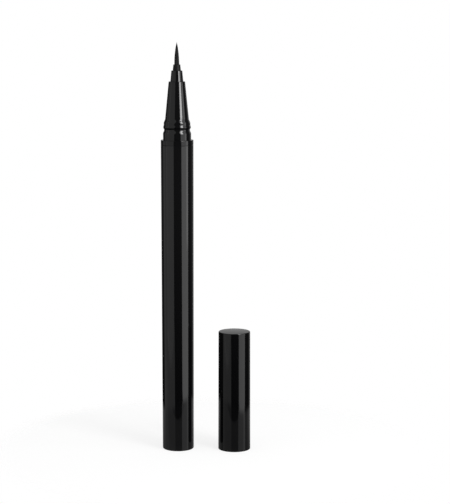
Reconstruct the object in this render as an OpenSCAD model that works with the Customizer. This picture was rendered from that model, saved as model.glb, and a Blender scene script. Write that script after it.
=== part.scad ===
// Liquid eyeliner pen with a brush tip, standing on its tail, and its cap standing mouth down beside it.
// Units are millimetres. The pen's axis is Z, and the origin is the middle of the flat face at its tail.

/* [Barrel] */
// Length of the barrel from tail to mouth
barrel_length = 99.2; // [85:0.1:115]
// Outside radius of the barrel at its mouth
barrel_mouth_radius = 5.13; // [4.9:0.01:6]
// How much slimmer the tail is than the mouth, in radius
barrel_taper = 0.15; // [0.05:0.01:0.3]
// Wall of the barrel at its mouth
barrel_wall = 0.71; // [0.58:0.01:0.85]
// Rounding of the edge at the tail
tail_round = 0.35; // [0.1:0.01:0.45]
// Rounding of the outer edge at the mouth
mouth_round = 0.12; // [0.05:0.01:0.25]
// Distance of the fine line round the barrel from its mouth
line_drop = 1.6; // [1:0.1:4]
// Width of the fine line
line_width = 0.16; // [0.1:0.01:0.3]
// Depth of the fine line
line_depth = 0.05; // [0.02:0.01:0.1]

/* [Tank and tail] */
// How much slimmer the tank is than the section's collar, in radius
tank_step = 0.12; // [0.08:0.01:0.3]
// Wall of the tank
tank_wall = 0.68; // [0.5:0.01:0.9]
// Thickness of the plug's flange
plug_flange = 1.0; // [0.6:0.1:1.5]
// Bevel round the plug's outer face
plug_bevel = 0.12; // [0.05:0.01:0.3]
// Depth to which the plug's skirt reaches into the tank
plug_skirt = 5.0; // [3:0.1:8]
// Wall of the plug's skirt
plug_wall = 0.8; // [0.5:0.05:1]
// Space round the mixing ball in the plug's skirt
ball_clearance = 0.78; // [0.5:0.01:1.2]

/* [Collector and wick] */
// Length of the collar that seals the collector in the tank
seal_length = 3.0; // [2:0.1:5]
// Length of the collector's comb
comb_length = 25.6; // [18:0.1:32]
// Number of fins on the comb
comb_fins = 22; // [12:1:28]
// Width of each gap between fins, as a share of the fin spacing
fin_gap_share = 0.5; // [0.35:0.05:0.65]
// Space between the comb and the tank's wall
comb_clearance = 0.3; // [0.2:0.05:0.5]
// Wall of the tube that carries the fins
comb_core_wall = 0.65; // [0.5:0.05:0.9]
// Width of the air slot along the comb
air_slot = 0.7; // [0.4:0.05:1]
// Width of the liquid slit along the comb
ink_slit = 0.25; // [0.15:0.05:0.4]
// Radius of the fibre wick
wick_radius = 0.95; // [0.8:0.01:1.05]
// Length of wick that stands out of the collector into the tank
wick_tail = 1.0; // [0.5:0.1:3]

/* [Front section] */
// Length of the collar inside the barrel
collar_length = 11.2; // [8:0.1:14]
// Length of the spigot behind the collar, inside the tank
spigot_length = 4.0; // [3:0.1:6]
// Height of the collar that shows above the barrel
dome_height = 3.15; // [2:0.05:3.5]
// Height over which the top of that collar sweeps in to the groove
dome_round = 1.2; // [0.4:0.05:1.5]
// Depth of the snap groove below the collar
groove_depth = 0.35; // [0.2:0.01:0.45]
// Width of the snap groove at its floor
groove_width = 0.2; // [0.1:0.05:1]
// How far the snap bead stands out of the groove's floor
bead_stand = 0.28; // [0.15:0.01:0.33]
// Height of the bead's crest above its foot
crest_height = 0.6; // [0.4:0.05:0.7]
// Height of the snap bead from its foot to the shoulder band
bead_height = 1.45; // [1.2:0.05:1.8]
// How much slimmer the shoulder band is than the bead, in radius
band_step = 0.17; // [0.1:0.01:0.2]
// Height of the shoulder band and the shoulder, between bead and cone
band_height = 1.95; // [1.85:0.05:2.5]
// How much slimmer the cone's foot is than the band, in radius
shoulder_step = 0.46; // [0.2:0.01:0.5]
// Height over which the shoulder sweeps in to the cone's foot
shoulder_height = 1.5; // [0.8:0.05:1.75]
// Length of the nose cone
cone_length = 11.5; // [10:0.1:16]
// Rounding of the cone's front edge
cone_round = 0.2; // [0.1:0.01:0.4]
// Wall of the cone's front lip round the sleeve
cone_lip = 0.52; // [0.45:0.01:0.8]
// Wall of the cone where the sleeve's flange sits
cone_wall = 0.65; // [0.5:0.01:0.7]

/* [Tip] */
// Length of the sleeve that shows in front of the cone
sleeve_length = 3.4; // [2.5:0.05:5]
// Length of the sleeve inside the cone, down to its flange
sleeve_grip = 8.4; // [6:0.1:9]
// Thickness of the sleeve's flange
sleeve_flange = 1.5; // [1:0.1:2]
// Taper of the sleeve's front, in radius
sleeve_taper = 0.32; // [0.1:0.01:0.4]
// Wall of the sleeve at its front
sleeve_wall = 0.42; // [0.36:0.01:0.7]
// Rounding of the sleeve's front edge
sleeve_round = 0.28; // [0.1:0.01:0.35]
// Length of the holder that shows in front of the sleeve
holder_length = 1.85; // [1.2:0.05:3]
// Length of the holder inside the sleeve, down to its flange
holder_grip = 7.35; // [5:0.05:9]
// Thickness of the holder's flange
holder_flange = 1.0; // [0.6:0.1:1.4]
// How far the holder's flange stands out
holder_lip = 0.3; // [0.2:0.01:0.35]
// Taper of the holder's front, in radius
holder_taper = 0.18; // [0.05:0.01:0.3]
// Wall of the holder at its front
holder_wall = 0.28; // [0.2:0.01:0.4]
// Rounding of the holder's front edge
holder_round = 0.12; // [0.05:0.01:0.18]

/* [Brush] */
// Length of bristle in front of the holder
brush_length = 7.1; // [5:0.1:9]
// Radius of the bundle of bristles in the holder
brush_radius = 0.79; // [0.65:0.01:0.9]
// Height of the fused flange at the root of the bristles
root_flange = 0.8; // [0.5:0.05:1.2]
// How far the fused flange stands out
root_lip = 0.16; // [0.1:0.01:0.2]
// Depth inside the holder at which the bristles part from their fused root
root_drop = 0.5; // [0.3:0.05:1.5]
// Rings of bristles, counted from the middle of the bundle to its edge
bristle_rings = 8; // [7:1:9]
// Ring on which the bore for the feed pipe lies
pipe_ring = 3; // [2:1:3]
// Width of a bristle, as a share of its place in the bundle
bristle_fill_share = 0.86; // [0.7:0.01:0.92]
// Wall of the feed pipe
pipe_wall = 0.1; // [0.08:0.01:0.12]

/* [Cap] */
// How much slimmer the cap's mouth is than the barrel's, in radius
cap_mouth_step = 0; // [0:0.005:0.1]
// How much slimmer the cap's closed end is than its mouth, in radius
cap_taper = 0.09; // [0:0.005:0.2]
// Rounding of the edge at the closed end
cap_round = 0.25; // [0.1:0.01:0.45]
// How far the middle of the closed end stands above its edge
cap_crown = 0.1; // [0.05:0.01:0.2]
// Rounding of the edge at the mouth
cap_lip_round = 0.12; // [0.05:0.01:0.25]
// Thickness of the closed end
cap_top = 1.2; // [0.8:0.1:2]
// Space between the section's collar and the cap's bore
cap_clearance = 0.05; // [0.03:0.01:0.1]
// How much slimmer the bore is where the inner cap's flange slides, in radius
guide_step = 0.2; // [0.1:0.01:0.25]
// Radius of the bead in the cap that snaps into the section's groove
snap_bead = 0.3; // [0.2:0.01:0.35]
// How far the bead that keeps the inner cap in stands out of its bore
keeper_stand = 0.2; // [0.15:0.01:0.22]
// Where the cap stands, along X from the pen
cap_stand_x = 18.0; // [14:0.1:40]
// Where the cap stands, along Y from the pen
cap_stand_y = -0.865; // [-20:0.005:20]

/* [Inner cap and spring] */
// Height above the cap's mouth at which the inner cap meets the cone
seal_height = 13.2; // [12:0.1:14]
// How far the cone pushes the inner cap back when the cap is on
seal_travel = 1.2; // [0.8:0.1:1.6]
// Space that the inner cap leaves over the brush
tip_space = 1.05; // [0.8:0.05:3]
// Wall of the inner cap
inner_wall = 0.55; // [0.4:0.01:0.6]
// Bevel inside the inner cap's mouth
inner_bevel = 0.25; // [0.1:0.01:0.35]
// Thickness of the inner cap's closed end
inner_top = 0.8; // [0.6:0.05:1.2]
// Thickness of the inner cap's flange
inner_flange = 1.0; // [0.7:0.1:1.5]
// Number of guide fins on the inner cap
guide_fins = 4; // [3:1:6]
// Width of a guide fin
guide_fin_width = 0.6; // [0.4:0.05:1]
// Length of plain wall between the inner cap's mouth and its guide fins
guide_fin_setback = 1.0; // [0.5:0.1:3]
// Height of the posts that centre the spring
spring_post = 1.4; // [0.8:0.1:1.8]
// Length of the spring at rest
spring_length = 5.9; // [5:0.1:8]
// Mean radius of the spring's coils
spring_radius = 2.65; // [2.2:0.05:3.1]
// Radius of the spring's wire
wire_radius = 0.2; // [0.15:0.01:0.25]
// Number of coils in the spring
spring_coils = 5; // [3:1:6]
// Width of the space between the spring and its posts
post_clearance = 0.25; // [0.15:0.05:0.4]

/* [Hidden] */

// Gap left round a press fit, on a radius
press_gap = 0.02;
// Gap left round a sliding fit, on a radius
slide_gap = 0.05;
// Gap between a moving piece and the seat it rests on
seat_gap = 0.05;
// How far cuts run past the faces that they open
overrun = 0.5;
// Sides of a turned face, and steps of a rounded edge
round_fn = 96;
round_steps = 6;

black = "#15151a";
satin_black = "#26262b";
brush_black = "#2b2b2e";
natural_white = "#e9e7e0";
fibre_white = "#f3f1ea";
steel = "#b9bcc0";

// Radii of the barrel and what fits in it, from the barrel's mouth inwards
tail_radius = barrel_mouth_radius - barrel_taper;
collar_bore = barrel_mouth_radius - barrel_wall;
collar_radius = collar_bore - press_gap;
tank_radius = collar_radius - tank_step;
barrel_bore = tank_radius + press_gap;
tank_bore = tank_radius - tank_wall;
spigot_radius = tank_bore - press_gap;
skirt_bore = spigot_radius - plug_wall;
ball_radius = skirt_bore - ball_clearance;
comb_radius = tank_bore - comb_clearance;
wick_bore = wick_radius + press_gap;
comb_core = wick_bore + comb_core_wall;

// Radii of the section, from the collar inwards
groove_radius = collar_radius - groove_depth;
bead_radius = groove_radius + bead_stand;
band_radius = bead_radius - band_step;
cone_foot = band_radius - shoulder_step;

// Radii of the tip, from the bristles outwards
root_radius = brush_radius + root_lip;
root_bore = max(root_radius, wick_radius) + press_gap;
pipe_bore = brush_radius * pipe_ring / bristle_rings;
pipe_radius = pipe_bore - press_gap;
holder_bore = brush_radius + press_gap;
holder_front = holder_bore + holder_wall;
holder_radius = holder_front + holder_taper;
holder_flange_radius = holder_radius + holder_lip;
sleeve_bore = holder_radius + press_gap;
sleeve_back_bore = holder_flange_radius + press_gap;
sleeve_front = sleeve_bore + sleeve_wall;
sleeve_radius = sleeve_front + sleeve_taper;
cone_bore = sleeve_radius + press_gap;
cone_front = cone_bore + cone_lip;

// Heights along the pen, from the tail upwards
z_flange = plug_flange;
z_tank_top = barrel_length - collar_length;
z_spigot = z_tank_top - spigot_length;
z_comb = z_spigot - comb_length;
z_collector = z_comb - seal_length;
z_wick = z_collector - wick_tail;
z_dome = barrel_length + dome_height;
z_bead = z_dome + groove_width;
z_crest = z_bead + crest_height;
z_band = z_bead + bead_height;
z_cone = z_band + band_height;
z_shoulder = z_cone - shoulder_height;
z_sleeve = z_cone + cone_length;
z_sleeve_seat = z_sleeve - sleeve_grip;
z_sleeve_back = z_sleeve_seat - sleeve_flange;
z_holder = z_sleeve + sleeve_length;
z_holder_seat = z_holder - holder_grip;
z_holder_back = z_holder_seat - holder_flange;
z_root_flange = z_holder_seat + root_flange;
z_brush = z_holder + holder_length;
z_root = z_brush - root_drop;
z_tip = z_brush + brush_length;

// Bore behind the sleeve, which holds the collector's neck and the sleeve's flange
section_bore = cone_radius_at(z_sleeve_seat) - cone_wall;
neck_radius = section_bore - press_gap;

// Radii of the cap and of the inner cap
cap_mouth_radius = barrel_mouth_radius - cap_mouth_step;
cap_end_radius = cap_mouth_radius - cap_taper;
cap_bore = collar_radius + cap_clearance;
guide_bore = cap_bore - guide_step;
keeper_radius = guide_bore - keeper_stand;
inner_bore = cone_radius_at(barrel_length + seal_height);
inner_radius = inner_bore + inner_wall;
inner_flange_radius = guide_bore - slide_gap;
fin_radius = keeper_radius - slide_gap;
post_radius = spring_radius - wire_radius - post_clearance;

// Heights in the cap, from its mouth upwards
z_snap = z_dome + groove_width / 2 - barrel_length;
z_inner_mouth = seal_height - seal_travel;
z_inner_ceiling = z_tip - barrel_length - seal_travel + tip_space;
z_inner_top = z_inner_ceiling + inner_top;
z_inner_flange = z_inner_top - inner_flange;
z_keeper = z_inner_flange - seat_gap - keeper_stand;
z_guide = z_keeper - keeper_stand - guide_step;
z_cap_ceiling = z_inner_top + spring_length;
cap_length = z_cap_ceiling + cap_top;

// Outside radius of the barrel at a height
function barrel_radius_at(z) = tail_radius + barrel_taper * z / barrel_length;

// Outside radius of the nose cone at a height
function cone_radius_at(z) = cone_foot + (cone_front - cone_foot) * (z - z_cone) / cone_length;

// Points of a rounded edge, in degrees from its first angle to its last
function edge(centre, radius, first, last) = [
    for (i = [0 : round_steps])
        let (angle = first + (last - first) * i / round_steps)
            centre + radius * [cos(angle), sin(angle)]
];

// Points of a smooth sweep from one [radius, height] to another: half a cosine wave
function sweep(first, last) = [
    for (i = [0 : 2 * round_steps])
        let (share = i / (2 * round_steps))
            [
                first[0] + (last[0] - first[0]) * (1 - cos(180 * share)) / 2,
                first[1] + (last[1] - first[1]) * share
            ]
];

// A fine V-shaped line in a wall whose radius at a height is given, from below upwards
function fine_line(radius, z) = [
    [radius, z - line_width / 2],
    [radius - line_depth, z],
    [radius, z + line_width / 2]
];

// A solid turned round the axis from an outline of [radius, height] points
module turned(outline) {
    rotate_extrude($fn = round_fn)
        polygon(outline);
}

// Whatever belongs to the cap, at the place where the cap stands
module at_cap() {
    translate([cap_stand_x, cap_stand_y, 0])
        children();
}

// Outer tube, open at both ends, with a wider bore for the section's collar
module barrel() {
    z_line = barrel_length - line_drop;
    color(black)
        turned(concat(
            [[barrel_bore, 0]],
            edge([tail_radius - tail_round, tail_round], tail_round, 270, 360),
            fine_line(barrel_radius_at(z_line), z_line),
            edge([barrel_mouth_radius - mouth_round, barrel_length - mouth_round], mouth_round, 0, 90),
            [[collar_bore, barrel_length], [collar_bore, z_tank_top], [barrel_bore, z_tank_top]]
        ));
}

// Liquid tube that lines the barrel
module ink_tank() {
    color(natural_white)
        turned([
            [tank_bore, z_flange], [tank_radius, z_flange],
            [tank_radius, z_tank_top], [tank_bore, z_tank_top]
        ]);
}

// Plug that closes the tank and makes the flat tail
module tail_plug() {
    color(black)
        turned([
            [0, 0], [tank_radius - plug_bevel, 0], [tank_radius, plug_bevel],
            [tank_radius, z_flange], [spigot_radius, z_flange],
            [spigot_radius, z_flange + plug_skirt], [skirt_bore, z_flange + plug_skirt],
            [skirt_bore, z_flange], [0, z_flange]
        ]);
}

// Loose steel ball that stirs the liquid
module mixing_ball() {
    color(steel)
        translate([0, 0, z_flange + seat_gap + ball_radius])
            sphere(r = ball_radius, $fn = round_fn);
}

// Comb that takes up surplus liquid, with a sealing collar behind and a neck in front
module collector() {
    fin_pitch = comb_length / comb_fins;
    fin_gap = fin_pitch * fin_gap_share;
    fins = [
        for (i = [0 : comb_fins - 1])
            let (z = z_comb + i * fin_pitch)
                each [
                    [comb_core, z], [comb_core, z + fin_gap],
                    [comb_radius, z + fin_gap], [comb_radius, z + fin_pitch]
                ]
    ];
    slot_length = comb_length - (fin_pitch - fin_gap);
    color(natural_white)
        difference() {
            turned(concat(
                [[wick_bore, z_collector], [spigot_radius, z_collector], [spigot_radius, z_comb]],
                fins,
                [[neck_radius, z_spigot], [neck_radius, z_sleeve_back], [wick_bore, z_sleeve_back]]
            ));
            comb_slot(air_slot, slot_length, 0);
            comb_slot(ink_slit, slot_length, 180);
        }
}

// A slot along the comb, down to its core, on one side of the axis
module comb_slot(width, length, side) {
    rotate([0, 0, side])
        translate([comb_core, -width / 2, z_comb])
            cube([comb_radius - comb_core + overrun, width, length]);
}

// Fibre rod from the tank to the root of the bristles
module ink_wick() {
    color(fibre_white)
        translate([0, 0, z_wick])
            cylinder(r = wick_radius, h = z_holder_seat - z_wick, $fn = round_fn);
}

// Underside of the snap bead, from the groove to just below its crest: a quarter of a sine wave
function bead_underside() = [
    for (i = [0 : round_steps - 1])
        let (share = i / round_steps)
            [groove_radius + bead_stand * sin(90 * share), z_bead + crest_height * share]
];

// Collar, snap groove and bead, shoulder and nose cone in one moulding
module front_section() {
    color(black)
        turned(concat(
            [
                [section_bore, z_spigot], [spigot_radius, z_spigot], [spigot_radius, z_tank_top],
                [collar_radius, z_tank_top]
            ],
            sweep([collar_radius, z_dome - dome_round], [groove_radius, z_dome]),
            bead_underside(),
            sweep([bead_radius, z_crest], [band_radius, z_band]),
            sweep([band_radius, z_shoulder], [cone_foot, z_cone]),
            edge([cone_front - cone_round, z_sleeve - cone_round], cone_round, 0, 90),
            [[cone_bore, z_sleeve], [cone_bore, z_sleeve_seat], [section_bore, z_sleeve_seat]]
        ));
}

// Glossy sleeve in the mouth of the cone, held behind by its flange
module tip_sleeve() {
    color(black)
        turned(concat(
            [
                [sleeve_back_bore, z_sleeve_back], [neck_radius, z_sleeve_back],
                [neck_radius, z_sleeve_seat], [sleeve_radius, z_sleeve_seat],
                [sleeve_radius, z_sleeve]
            ],
            edge([sleeve_front - sleeve_round, z_holder - sleeve_round], sleeve_round, 0, 90),
            [[sleeve_bore, z_holder], [sleeve_bore, z_holder_seat], [sleeve_back_bore, z_holder_seat]]
        ));
}

// Ferrule that grips the bristles, held behind by its flange
module brush_holder() {
    color(satin_black)
        turned(concat(
            [
                [root_bore, z_holder_back], [holder_flange_radius, z_holder_back],
                [holder_flange_radius, z_holder_seat], [holder_radius, z_holder_seat],
                [holder_radius, z_holder]
            ],
            edge([holder_front - holder_round, z_brush - holder_round], holder_round, 0, 90),
            [[holder_bore, z_brush], [holder_bore, z_root_flange], [root_bore, z_root_flange]]
        ));
}

// Fine pipe from the wick into the middle of the bristles
module feed_pipe() {
    color(natural_white)
        turned([
            [pipe_radius - pipe_wall, z_holder_seat], [pipe_radius, z_holder_seat],
            [pipe_radius, z_root], [pipe_radius - pipe_wall, z_root]
        ]);
}

// Heights of a bristle's rings of points, as shares of the bristles' free length
bristle_level_shares = [0, 0.32, 0.7];
// How much shorter the outermost bristles are, as a share
bristle_stagger_share = 0.14;
// What is left of the bundle's width at its very tip, as a share
brush_point_share = 0.03;

// Width of the bundle at a share of the free length, as a share of its full width: a parabola
function bundle_share(share) = 1 - (1 - brush_point_share) * share * share;

// The bundle's places lie on rings, six more on each ring than on the one inside it.
// Index of place j on ring k, and its direction and distance from the axis as shares of the bundle's radius
function ring_start(k) = 3 * (k * (k - 1) - pipe_ring * (pipe_ring - 1));
function ring_index(k, j) = ring_start(k) + j % (6 * k);
function ring_point(k, j) = [cos(60 * j / k), sin(60 * j / k)] * k / bristle_rings;

// The triangles between the rings, each as three [ring, place] corners: one bristle stands on each
bristle_cells = [
    for (k = [pipe_ring + 1 : bristle_rings])
        for (sector = [0 : 5])
            let (out = sector * k, in = sector * (k - 1))
                each concat(
                    [for (t = [0 : k - 1]) [[k, out + t], [k, out + t + 1], [k - 1, in + t]]],
                    [for (t = [0 : k - 2]) [[k - 1, in + t], [k, out + t + 1], [k - 1, in + t + 1]]]
                )
];
cell_count = len(bristle_cells);
place_count = ring_start(bristle_rings + 1);

// All places at one height, spread between the pipe's bore and an outer radius
function root_places(radius, z) = [
    for (k = [pipe_ring : bristle_rings])
        let (
            spread = (k - pipe_ring) / (bristle_rings - pipe_ring),
            reach = pipe_bore + (radius - pipe_bore) * spread
        )
            for (j = [0 : 6 * k - 1])
                concat(ring_point(k, j) * bristle_rings / k * reach, [z])
];

// The places of the outermost ring alone, at one height and radius
function rim_places(radius, z) = [
    for (j = [0 : 6 * bristle_rings - 1])
        concat(ring_point(bristle_rings, j) * radius, [z])
];

// Points of one bristle: three at each level, drawn in towards the middle of its cell, and its tip
function bristle_points(cell) =
    let (
        corners = [for (c = cell) ring_point(c[0], c[1]) * brush_radius],
        middle = (corners[0] + corners[1] + corners[2]) / 3,
        outwards = (cell[0][0] - pipe_ring) / (bristle_rings - pipe_ring),
        height = 1 - bristle_stagger_share * outwards,
        free_length = z_tip - z_root
    )
        concat(
            [
                for (level = bristle_level_shares)
                    for (c = corners)
                        concat(
                            (middle + (c - middle) * bristle_fill_share) * bundle_share(level),
                            [z_root + free_length * level]
                        )
            ],
            [concat(middle * bundle_share(height), [z_root + free_length * height])]
        );

// Two triangles of a wall between an upper pair of points and a lower pair
function wall_faces(upper_a, upper_b, lower_a, lower_b) = [
    [upper_a, lower_b, lower_a],
    [upper_a, upper_b, lower_b]
];

// Faces of bristle i: a collar in the root's top face round its foot, its sides and its tip
function bristle_faces(i) =
    let (
        levels = len(bristle_level_shares),
        first = 2 * place_count + 12 * bristle_rings + i * (3 * levels + 1),
        cell = [for (c = bristle_cells[i]) ring_index(c[0], c[1])]
    )
        [
            for (a = [0 : 2])
                let (b = (a + 1) % 3, top = first + 3 * (levels - 1))
                    each concat(
                        wall_faces(first + a, first + b, cell[a], cell[b]),
                        [
                            for (low = [first : 3 : top - 3])
                                each wall_faces(low + 3 + a, low + 3 + b, low + a, low + b)
                        ],
                        [[top + b, top + a, top + 3]]
                    )
        ];

// Bundle of tapering three-sided bristles on a fused root with a flange
module brush() {
    rim = 2 * place_count;
    flange_rim = rim + 6 * bristle_rings;
    root_bottom = [
        for (cell = bristle_cells)
            [for (c = cell) place_count + ring_index(c[0], c[1])]
    ];
    root_wall = [
        for (j = [0 : 6 * bristle_rings - 1])
            let (
                next = (j + 1) % (6 * bristle_rings),
                top = ring_index(bristle_rings, j),
                next_top = ring_index(bristle_rings, next)
            )
                each concat(
                    wall_faces(top, next_top, rim + j, rim + next),
                    wall_faces(rim + j, rim + next, flange_rim + j, flange_rim + next),
                    wall_faces(flange_rim + j, flange_rim + next, place_count + top, place_count + next_top)
                )
    ];
    bore_wall = [
        for (j = [0 : 6 * pipe_ring - 1])
            let (next = ring_index(pipe_ring, j + 1))
                each wall_faces(next, j, place_count + next, place_count + j)
    ];
    color(brush_black)
        polyhedron(
            points = concat(
                root_places(brush_radius, z_root),
                root_places(root_radius, z_holder_seat),
                rim_places(brush_radius, z_root_flange),
                rim_places(root_radius, z_root_flange),
                [for (cell = bristle_cells) each bristle_points(cell)]
            ),
            faces = concat(
                [for (i = [0 : cell_count - 1]) each bristle_faces(i)],
                root_bottom, root_wall, bore_wall
            )
        );
}

// Slightly crowned outer face of the cap's closed end, from its edge to its middle: a parabola
function crown_outline() = [
    for (i = [1 : round_steps])
        let (out = 1 - i / round_steps)
            [(cap_end_radius - cap_round) * out, cap_length - cap_crown * out * out]
];

// Closed shell of the cap, with a bead for the section's groove and one that keeps the inner cap in
module cap_shell() {
    color(black)
        at_cap()
            turned(concat(
                [[cap_bore, 0]],
                edge([cap_mouth_radius - cap_lip_round, cap_lip_round], cap_lip_round, 270, 360),
                edge([cap_end_radius - cap_round, cap_length - cap_crown - cap_round], cap_round, 0, 90),
                crown_outline(),
                [
                    [0, z_cap_ceiling - spring_post], [post_radius, z_cap_ceiling - spring_post],
                    [post_radius, z_cap_ceiling], [guide_bore, z_cap_ceiling]
                ],
                edge([guide_bore, z_keeper], keeper_stand, 90, 270),
                [[cap_bore, z_guide]],
                edge([cap_bore, z_snap], snap_bead, 90, 270)
            ));
}

// Soft inner cap that closes over the nose cone
module inner_cap() {
    color(natural_white)
        at_cap() {
            turned([
                [inner_bore + inner_bevel, z_inner_mouth], [inner_radius, z_inner_mouth],
                [inner_radius, z_inner_flange], [inner_flange_radius, z_inner_flange],
                [inner_flange_radius, z_inner_top], [post_radius, z_inner_top],
                [post_radius, z_inner_top + spring_post], [0, z_inner_top + spring_post],
                [0, z_inner_ceiling], [inner_bore, z_inner_ceiling],
                [inner_bore, z_inner_mouth + inner_bevel]
            ]);
            for (i = [0 : guide_fins - 1])
                rotate([0, 0, i * 360 / guide_fins])
                    guide_fin();
        }
}

// One fin along the outside of the inner cap, rooted in the middle of its wall and of its flange
module guide_fin() {
    root = inner_bore + inner_wall / 2;
    foot = z_inner_mouth + guide_fin_setback;
    translate([root, -guide_fin_width / 2, foot])
        cube([fin_radius - root, guide_fin_width, z_inner_flange + inner_flange / 2 - foot]);
}

// Rings of points to a coil of the spring, and sides of its wire
coil_rings = 12;
wire_sides = 8;
coil_rise = (spring_length - 2 * wire_radius - 2 * press_gap) / spring_coils;

// Ring i of points round the spring's wire, which climbs one rise a coil
function coil_ring(i) = [
    for (s = [0 : wire_sides - 1])
        let (
            turn = 360 * i / coil_rings,
            around = 360 * s / wire_sides,
            reach = spring_radius + wire_radius * cos(around),
            height = z_inner_top + press_gap + wire_radius + coil_rise * i / coil_rings
        )
            [reach * cos(turn), reach * sin(turn), height + wire_radius * sin(around)]
];

// Coil spring between the inner cap and the closed end of the cap
module inner_cap_spring() {
    rings = spring_coils * coil_rings;
    sides = [
        for (i = [0 : rings - 1])
            for (s = [0 : wire_sides - 1])
                let (low = i * wire_sides, next = (s + 1) % wire_sides)
                    each wall_faces(low + wire_sides + next, low + wire_sides + s, low + next, low + s)
    ];
    first_end = [for (s = [1 : wire_sides - 2]) [0, s + 1, s]];
    last_end = [for (s = [1 : wire_sides - 2]) [0, s, s + 1] + rings * wire_sides * [1, 1, 1]];
    color(steel)
        at_cap()
            polyhedron(
                points = [for (i = [0 : rings]) each coil_ring(i)],
                faces = concat(sides, first_end, last_end)
            );
}

// Least gap between one coil of the spring and the next, measured on the points of their rings
least_coil_gap = min([
    for (i = [coil_rings / 2 : coil_rings * 3 / 2])
        for (a = coil_ring(0))
            for (b = coil_ring(i))
                norm(a - b)
]);
echo(least_coil_gap = least_coil_gap);

barrel();
ink_tank();
tail_plug();
mixing_ball();
collector();
ink_wick();
front_section();
tip_sleeve();
brush_holder();
feed_pipe();
brush();
cap_shell();
inner_cap();
inner_cap_spring();
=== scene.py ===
"""Looks of the liquid liner pen and its cap: smooth shells, bristles, finishes, stage and camera.

Laid out as an add-on and run as a script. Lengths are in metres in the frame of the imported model:
+Z runs up the pen's axis from its tail, and the cap stands mouth down beside it.
"""

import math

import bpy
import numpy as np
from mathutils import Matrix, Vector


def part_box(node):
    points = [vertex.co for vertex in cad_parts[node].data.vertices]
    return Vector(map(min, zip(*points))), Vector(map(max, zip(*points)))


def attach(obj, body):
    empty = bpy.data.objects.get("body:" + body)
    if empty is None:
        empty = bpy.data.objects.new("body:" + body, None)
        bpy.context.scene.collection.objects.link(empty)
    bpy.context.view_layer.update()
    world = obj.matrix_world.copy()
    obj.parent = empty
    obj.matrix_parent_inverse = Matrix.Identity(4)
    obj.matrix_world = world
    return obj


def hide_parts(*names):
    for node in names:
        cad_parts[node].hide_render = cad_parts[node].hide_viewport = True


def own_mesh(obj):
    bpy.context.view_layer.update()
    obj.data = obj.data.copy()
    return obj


bl_info = {
    "name": "Liner Pen",
    "version": (1, 0, 0),
    "blender": (4, 5, 0),
    "location": "View3D > Sidebar > Liner Pen",
    "description": "Builds a brush-tip liner pen with its cap, their finishes and a plain studio",
    "category": "Object",
}

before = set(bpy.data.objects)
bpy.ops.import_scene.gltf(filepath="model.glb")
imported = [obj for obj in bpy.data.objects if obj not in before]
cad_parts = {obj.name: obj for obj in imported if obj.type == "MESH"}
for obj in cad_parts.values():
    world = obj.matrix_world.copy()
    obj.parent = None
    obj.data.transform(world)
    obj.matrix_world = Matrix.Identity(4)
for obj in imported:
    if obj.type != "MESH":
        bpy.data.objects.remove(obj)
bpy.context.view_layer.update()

MM = 0.001
# Sides of a turned piece, and steps in the rounding of a right-angled corner
SIDES = 192
ARC_STEPS = 12
# Shares of a corner's shorter side that its arc, and the points that keep the shading flat, may take
ARC_ROOM = 0.45
HOLD_ROOM = 0.49
# How far beyond the arc those points stand, as a share of its fillet
HOLD_REACH = 1 / 3
# Corners sharper than this stay crisp, and softer ones are shaded round
CREASE = math.radians(25)
# Width of the camera's sensor, in millimetres as Blender gives it
SENSOR_WIDTH = 36
GOLDEN_ANGLE = math.pi * (3 - math.sqrt(5))


def linear(hex_colour):
    """Linear red, green and blue of an sRGB colour written as #rrggbb."""
    shares = [int(hex_colour[i:i + 2], 16) / 255 for i in (1, 3, 5)]
    return tuple(c / 12.92 if c <= 0.04045 else ((c + 0.055) / 1.055) ** 2.4 for c in shares)


def length(name, description, default):
    """A size that a user may change, in metres."""
    return bpy.props.FloatProperty(name=name, description=description, default=default, min=0,
                                   unit="LENGTH", precision=5)


def share(name, description, default):
    """A share or a plain ratio that a user may change."""
    return bpy.props.FloatProperty(name=name, description=description, default=default, min=0)


def whole_number(name, description, default, least=1):
    """A count that a user may change."""
    return bpy.props.IntProperty(name=name, description=description, default=default, min=least)


def angle(name, description, default):
    """An angle that a user may change, given here in degrees."""
    return bpy.props.FloatProperty(name=name, description=description, default=math.radians(default),
                                   subtype="ANGLE")


def colour(name, description, hex_colour):
    """A colour that a user may change, given here in sRGB."""
    return bpy.props.FloatVectorProperty(name=name, description=description, subtype="COLOR", size=3,
                                         min=0, max=1, default=linear(hex_colour))


def node_axis(node):
    """The x and y of a round node's axis."""
    low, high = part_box(node)
    return np.array([low.x + high.x, low.y + high.y]) / 2


def node_radius(node):
    """The radius of a round node at its widest."""
    low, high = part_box(node)
    return (high.x - low.x) / 2


def bottom(node):
    """The lowest z of a node."""
    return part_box(node)[0].z


def top(node):
    """The highest z of a node."""
    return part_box(node)[1].z


# Sizes and colours

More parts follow.
